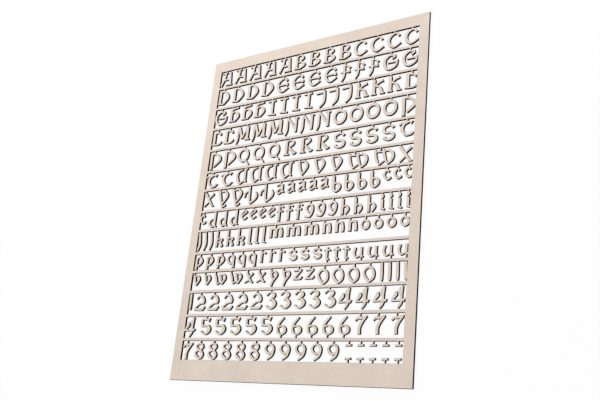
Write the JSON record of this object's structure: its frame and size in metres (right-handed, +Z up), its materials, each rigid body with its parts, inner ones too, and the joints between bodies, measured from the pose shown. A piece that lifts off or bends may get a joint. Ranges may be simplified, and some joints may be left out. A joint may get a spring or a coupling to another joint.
{
  "type": "lettering sheet",
  "caption": "Thin board cut into rows of push-out uncial letters, figures and hyphens, each hung on a small tab from the rail of a plain-bordered carrier.",
  "frame": {"origin": "middle of the sheet's underside", "axes": "+X along the rows of letters, +Y up the sheet towards the first row, +Z up through the board towards the face that reads right"},
  "size_m": [0.15, 0.2, 0.0013],
  "materials": {
    "board": "matt pale beige face, dark singed cut edges"
  },
  "bodies": {
    "carrier": {"carrier_sheet": "board"},
    "capital_A": {"capital_A": "board"},
    "capital_B": {"capital_B": "board"},
    "capital_C": {"capital_C": "board"},
    "capital_D": {"capital_D": "board"},
    "capital_E": {"capital_E": "board"},
    "capital_F": {"capital_F": "board"},
    "capital_G": {"capital_G": "board"},
    "capital_H": {"capital_H": "board"},
    "capital_I": {"capital_I": "board"},
    "capital_J": {"capital_J": "board"},
    "capital_K": {"capital_K": "board"},
    "capital_L": {"capital_L": "board"},
    "capital_M": {"capital_M": "board"},
    "capital_N": {"capital_N": "board"},
    "capital_O": {"capital_O": "board"},
    "capital_P": {"capital_P": "board"},
    "capital_Q": {"capital_Q": "board"},
    "capital_R": {"capital_R": "board"},
    "capital_S": {"capital_S": "board"},
    "capital_T": {"capital_T": "board"},
    "capital_U": {"capital_U": "board"},
    "capital_V": {"capital_V": "board"},
    "capital_W": {"capital_W": "board"},
    "capital_X": {"capital_X": "board"},
    "capital_Y": {"capital_Y": "board"},
    "capital_Z": {"capital_Z": "board"},
    "figure_0": {"figure_0": "board"},
    "figure_1": {"figure_1": "board"},
    "figure_2": {"figure_2": "board"},
    "figure_3": {"figure_3": "board"},
    "figure_4": {"figure_4": "board"},
    "figure_5": {"figure_5": "board"},
    "figure_6": {"figure_6": "board"},
    "figure_7": {"figure_7": "board"},
    "figure_8": {"figure_8": "board"},
    "figure_9": {"figure_9": "board"},
    "small_a": {"small_a": "board"},
    "small_b": {"small_b": "board"},
    "small_c": {"small_c": "board"},
    "small_d": {"small_d": "board"},
    "small_e": {"small_e": "board"},
    "small_f": {"small_f": "board"},
    "small_g": {"small_g": "board"},
    "small_h": {"small_h": "board"},
    "small_k": {"small_k": "board"},
    "small_m": {"small_m": "board"},
    "small_n": {"small_n": "board"},
    "small_o": {"small_o": "board"},
    "small_p": {"small_p": "board"},
    "small_q": {"small_q": "board"},
    "small_r": {"small_r": "board"},
    "small_s": {"small_s": "board"},
    "small_t": {"small_t": "board"},
    "small_u": {"small_u": "board"},
    "small_v": {"small_v": "board"},
    "small_w": {"small_w": "board"},
    "small_x": {"small_x": "board"},
    "small_y": {"small_y": "board"},
    "small_z": {"small_z": "board"}
  },
  "joints": [
    {"name": "push_out_capital_A", "type": "slide", "parent": "carrier", "child": "capital_A", "axis": [0, 0, 1], "range_m": [0, 0.012]},
    {"name": "push_out_capital_B", "type": "slide", "parent": "carrier", "child": "capital_B", "axis": [0, 0, 1], "range_m": [0, 0.012]},
    {"name": "push_out_capital_C", "type": "slide", "parent": "carrier", "child": "capital_C", "axis": [0, 0, 1], "range_m": [0, 0.012]},
    {"name": "push_out_capital_D", "type": "slide", "parent": "carrier", "child": "capital_D", "axis": [0, 0, 1], "range_m": [0, 0.012]},
    {"name": "push_out_capital_E", "type": "slide", "parent": "carrier", "child": "capital_E", "axis": [0, 0, 1], "range_m": [0, 0.012]},
    {"name": "push_out_capital_F", "type": "slide", "parent": "carrier", "child": "capital_F", "axis": [0, 0, 1], "range_m": [0, 0.012]},
    {"name": "push_out_capital_G", "type": "slide", "parent": "carrier", "child": "capital_G", "axis": [0, 0, 1], "range_m": [0, 0.012]},
    {"name": "push_out_capital_H", "type": "slide", "parent": "carrier", "child": "capital_H", "axis": [0, 0, 1], "range_m": [0, 0.012]},
    {"name": "push_out_capital_I", "type": "slide", "parent": "carrier", "child": "capital_I", "axis": [0, 0, 1], "range_m": [0, 0.012]},
    {"name": "push_out_capital_J", "type": "slide", "parent": "carrier", "child": "capital_J", "axis": [0, 0, 1], "range_m": [0, 0.012]},
    {"name": "push_out_capital_K", "type": "slide", "parent": "carrier", "child": "capital_K", "axis": [0, 0, 1], "range_m": [0, 0.012]},
    {"name": "push_out_capital_L", "type": "slide", "parent": "carrier", "child": "capital_L", "axis": [0, 0, 1], "range_m": [0, 0.012]},
    {"name": "push_out_capital_M", "type": "slide", "parent": "carrier", "child": "capital_M", "axis": [0, 0, 1], "range_m": [0, 0.012]},
    {"name": "push_out_capital_N", "type": "slide", "parent": "carrier", "child": "capital_N", "axis": [0, 0, 1], "range_m": [0, 0.012]},
    {"name": "push_out_capital_O", "type": "slide", "parent": "carrier", "child": "capital_O", "axis": [0, 0, 1], "range_m": [0, 0.012]},
    {"name": "push_out_capital_P", "type": "slide", "parent": "carrier", "child": "capital_P", "axis": [0, 0, 1], "range_m": [0, 0.012]},
    {"name": "push_out_capital_Q", "type": "slide", "parent": "carrier", "child": "capital_Q", "axis": [0, 0, 1], "range_m": [0, 0.012]},
    {"name": "push_out_capital_R", "type": "slide", "parent": "carrier", "child": "capital_R", "axis": [0, 0, 1], "range_m": [0, 0.012]},
    {"name": "push_out_capital_S", "type": "slide", "parent": "carrier", "child": "capital_S", "axis": [0, 0, 1], "range_m": [0, 0.012]},
    {"name": "push_out_capital_T", "type": "slide", "parent": "carrier", "child": "capital_T", "axis": [0, 0, 1], "range_m": [0, 0.012]},
    {"name": "push_out_capital_U", "type": "slide", "parent": "carrier", "child": "capital_U", "axis": [0, 0, 1], "range_m": [0, 0.012]},
    {"name": "push_out_capital_V", "type": "slide", "parent": "carrier", "child": "capital_V", "axis": [0, 0, 1], "range_m": [0, 0.012]},
    {"name": "push_out_capital_W", "type": "slide", "parent": "carrier", "child": "capital_W", "axis": [0, 0, 1], "range_m": [0, 0.012]},
    {"name": "push_out_capital_X", "type": "slide", "parent": "carrier", "child": "capital_X", "axis": [0, 0, 1], "range_m": [0, 0.012]},
    {"name": "push_out_capital_Y", "type": "slide", "parent": "carrier", "child": "capital_Y", "axis": [0, 0, 1], "range_m": [0, 0.012]},
    {"name": "push_out_capital_Z", "type": "slide", "parent": "carrier", "child": "capital_Z", "axis": [0, 0, 1], "range_m": [0, 0.012]},
    {"name": "push_out_figure_0", "type": "slide", "parent": "carrier", "child": "figure_0", "axis": [0, 0, 1], "range_m": [0, 0.012]},
    {"name": "push_out_figure_1", "type": "slide", "parent": "carrier", "child": "figure_1", "axis": [0, 0, 1], "range_m": [0, 0.012]},
    {"name": "push_out_figure_2", "type": "slide", "parent": "carrier", "child": "figure_2", "axis": [0, 0, 1], "range_m": [0, 0.012]},
    {"name": "push_out_figure_3", "type": "slide", "parent": "carrier", "child": "figure_3", "axis": [0, 0, 1], "range_m": [0, 0.012]},
    {"name": "push_out_figure_4", "type": "slide", "parent": "carrier", "child": "figure_4", "axis": [0, 0, 1], "range_m": [0, 0.012]},
    {"name": "push_out_figure_5", "type": "slide", "parent": "carrier", "child": "figure_5", "axis": [0, 0, 1], "range_m": [0, 0.012]},
    {"name": "push_out_figure_6", "type": "slide", "parent": "carrier", "child": "figure_6", "axis": [0, 0, 1], "range_m": [0, 0.012]},
    {"name": "push_out_figure_7", "type": "slide", "parent": "carrier", "child": "figure_7", "axis": [0, 0, 1], "range_m": [0, 0.012]},
    {"name": "push_out_figure_8", "type": "slide", "parent": "carrier", "child": "figure_8", "axis": [0, 0, 1], "range_m": [0, 0.012]},
    {"name": "push_out_figure_9", "type": "slide", "parent": "carrier", "child": "figure_9", "axis": [0, 0, 1], "range_m": [0, 0.012]},
    {"name": "push_out_small_a", "type": "slide", "parent": "carrier", "child": "small_a", "axis": [0, 0, 1], "range_m": [0, 0.012]},
    {"name": "push_out_small_b", "type": "slide", "parent": "carrier", "child": "small_b", "axis": [0, 0, 1], "range_m": [0, 0.012]},
    {"name": "push_out_small_c", "type": "slide", "parent": "carrier", "child": "small_c", "axis": [0, 0, 1], "range_m": [0, 0.012]},
    {"name": "push_out_small_d", "type": "slide", "parent": "carrier", "child": "small_d", "axis": [0, 0, 1], "range_m": [0, 0.012]},
    {"name": "push_out_small_e", "type": "slide", "parent": "carrier", "child": "small_e", "axis": [0, 0, 1], "range_m": [0, 0.012]},
    {"name": "push_out_small_f", "type": "slide", "parent": "carrier", "child": "small_f", "axis": [0, 0, 1], "range_m": [0, 0.012]},
    {"name": "push_out_small_g", "type": "slide", "parent": "carrier", "child": "small_g", "axis": [0, 0, 1], "range_m": [0, 0.012]},
    {"name": "push_out_small_h", "type": "slide", "parent": "carrier", "child": "small_h", "axis": [0, 0, 1], "range_m": [0, 0.012]},
    {"name": "push_out_small_k", "type": "slide", "parent": "carrier", "child": "small_k", "axis": [0, 0, 1], "range_m": [0, 0.012]},
    {"name": "push_out_small_m", "type": "slide", "parent": "carrier", "child": "small_m", "axis": [0, 0, 1], "range_m": [0, 0.012]},
    {"name": "push_out_small_n", "type": "slide", "parent": "carrier", "child": "small_n", "axis": [0, 0, 1], "range_m": [0, 0.012]},
    {"name": "push_out_small_o", "type": "slide", "parent": "carrier", "child": "small_o", "axis": [0, 0, 1], "range_m": [0, 0.012]},
    {"name": "push_out_small_p", "type": "slide", "parent": "carrier", "child": "small_p", "axis": [0, 0, 1], "range_m": [0, 0.012]},
    {"name": "push_out_small_q", "type": "slide", "parent": "carrier", "child": "small_q", "axis": [0, 0, 1], "range_m": [0, 0.012]},
    {"name": "push_out_small_r", "type": "slide", "parent": "carrier", "child": "small_r", "axis": [0, 0, 1], "range_m": [0, 0.012]},
    {"name": "push_out_small_s", "type": "slide", "parent": "carrier", "child": "small_s", "axis": [0, 0, 1], "range_m": [0, 0.012]},
    {"name": "push_out_small_t", "type": "slide", "parent": "carrier", "child": "small_t", "axis": [0, 0, 1], "range_m": [0, 0.012]},
    {"name": "push_out_small_u", "type": "slide", "parent": "carrier", "child": "small_u", "axis": [0, 0, 1], "range_m": [0, 0.012]},
    {"name": "push_out_small_v", "type": "slide", "parent": "carrier", "child": "small_v", "axis": [0, 0, 1], "range_m": [0, 0.012]},
    {"name": "push_out_small_w", "type": "slide", "parent": "carrier", "child": "small_w", "axis": [0, 0, 1], "range_m": [0, 0.012]},
    {"name": "push_out_small_x", "type": "slide", "parent": "carrier", "child": "small_x", "axis": [0, 0, 1], "range_m": [0, 0.012]},
    {"name": "push_out_small_y", "type": "slide", "parent": "carrier", "child": "small_y", "axis": [0, 0, 1], "range_m": [0, 0.012]},
    {"name": "push_out_small_z", "type": "slide", "parent": "carrier", "child": "small_z", "axis": [0, 0, 1], "range_m": [0, 0.012]}
  ]
}
